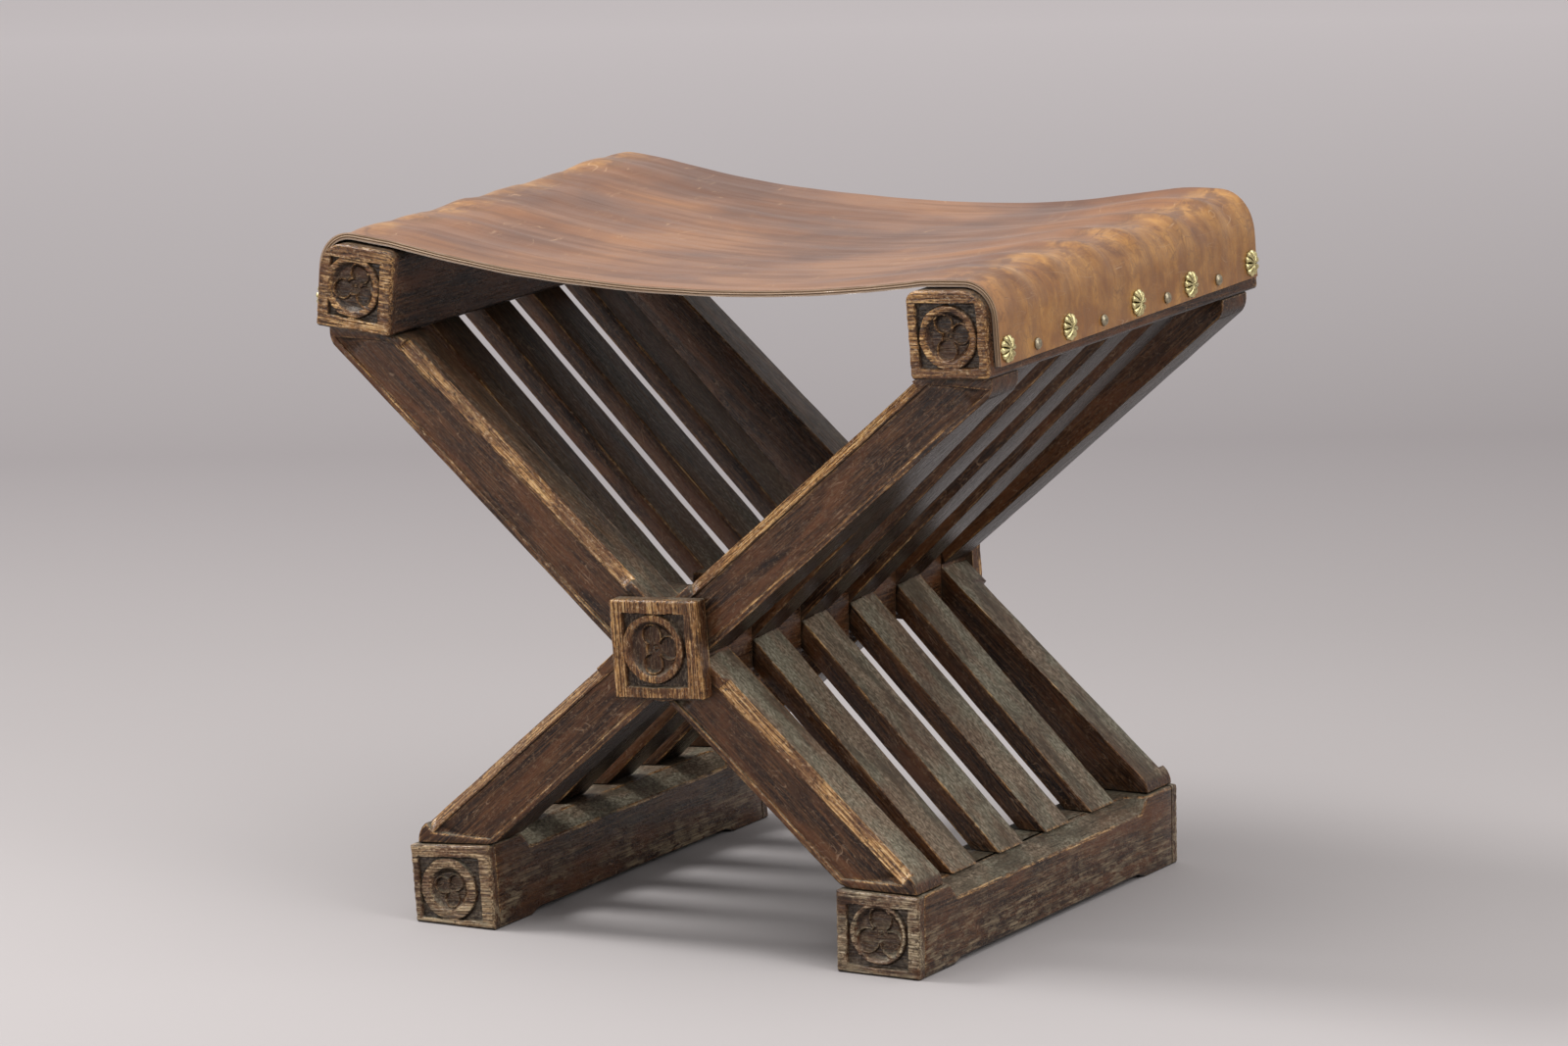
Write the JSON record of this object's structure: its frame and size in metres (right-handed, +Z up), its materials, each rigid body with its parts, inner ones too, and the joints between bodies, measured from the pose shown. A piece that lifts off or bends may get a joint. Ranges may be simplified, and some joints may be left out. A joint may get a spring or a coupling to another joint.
{
  "type": "folding stool",
  "caption": "Wooden scissor stool of crossed slats on a pivot rod, with carved rail ends and bosses and a nailed leather sling seat; it folds about the crossing.",
  "frame": {"origin": "centre of the footprint, on the floor under the two foot rails", "axes": "+Z up; +X across the sling, from the left seat rail to the right one as seen from the front; +Y from the front pair of legs to the rear pair, along the pivot rod"},
  "size_m": [0.5294, 0.4002, 0.4745],
  "materials": {
    "wood": "aged and waxed, arrises worn to golden brown",
    "leather": "polished by use, red-brown",
    "brass": "aged",
    "iron": "dull"
  },
  "bodies": {
    "frame_a": {"leg_a_front": "wood", "leg_a_rear": "wood", "slat_a_1": "wood", "slat_a_2": "wood", "slat_a_3": "wood", "slat_a_4": "wood", "seat_rail_left": "wood", "foot_rail_right": "wood", "pivot_rod": "iron", "spacer_1": "wood", "spacer_2": "wood", "spacer_3": "wood", "spacer_4": "wood", "spacer_5": "wood", "sling_leather": "leather", "rosette_left_1": "brass", "rosette_left_2": "brass", "rosette_left_3": "brass", "rosette_left_4": "brass", "rosette_left_5": "brass", "dome_left_1": "brass", "dome_left_2": "brass", "dome_left_3": "brass", "dome_left_4": "brass"},
    "frame_b": {"leg_b_front": "wood", "leg_b_rear": "wood", "slat_b_1": "wood", "slat_b_2": "wood", "slat_b_3": "wood", "slat_b_4": "wood", "seat_rail_right": "wood", "foot_rail_left": "wood", "boss_front": "wood", "boss_rear": "wood", "rosette_right_1": "brass", "rosette_right_2": "brass", "rosette_right_3": "brass", "rosette_right_4": "brass", "rosette_right_5": "brass", "dome_right_1": "brass", "dome_right_2": "brass", "dome_right_3": "brass", "dome_right_4": "brass"}
  },
  "joints": [
    {"name": "fold", "type": "hinge", "parent": "frame_a", "child": "frame_b", "pos_m": [0, 0, 0.2038], "axis": [0, -1, 0], "range_deg": [0, 18], "deforming": ["sling_leather"]}
  ]
}
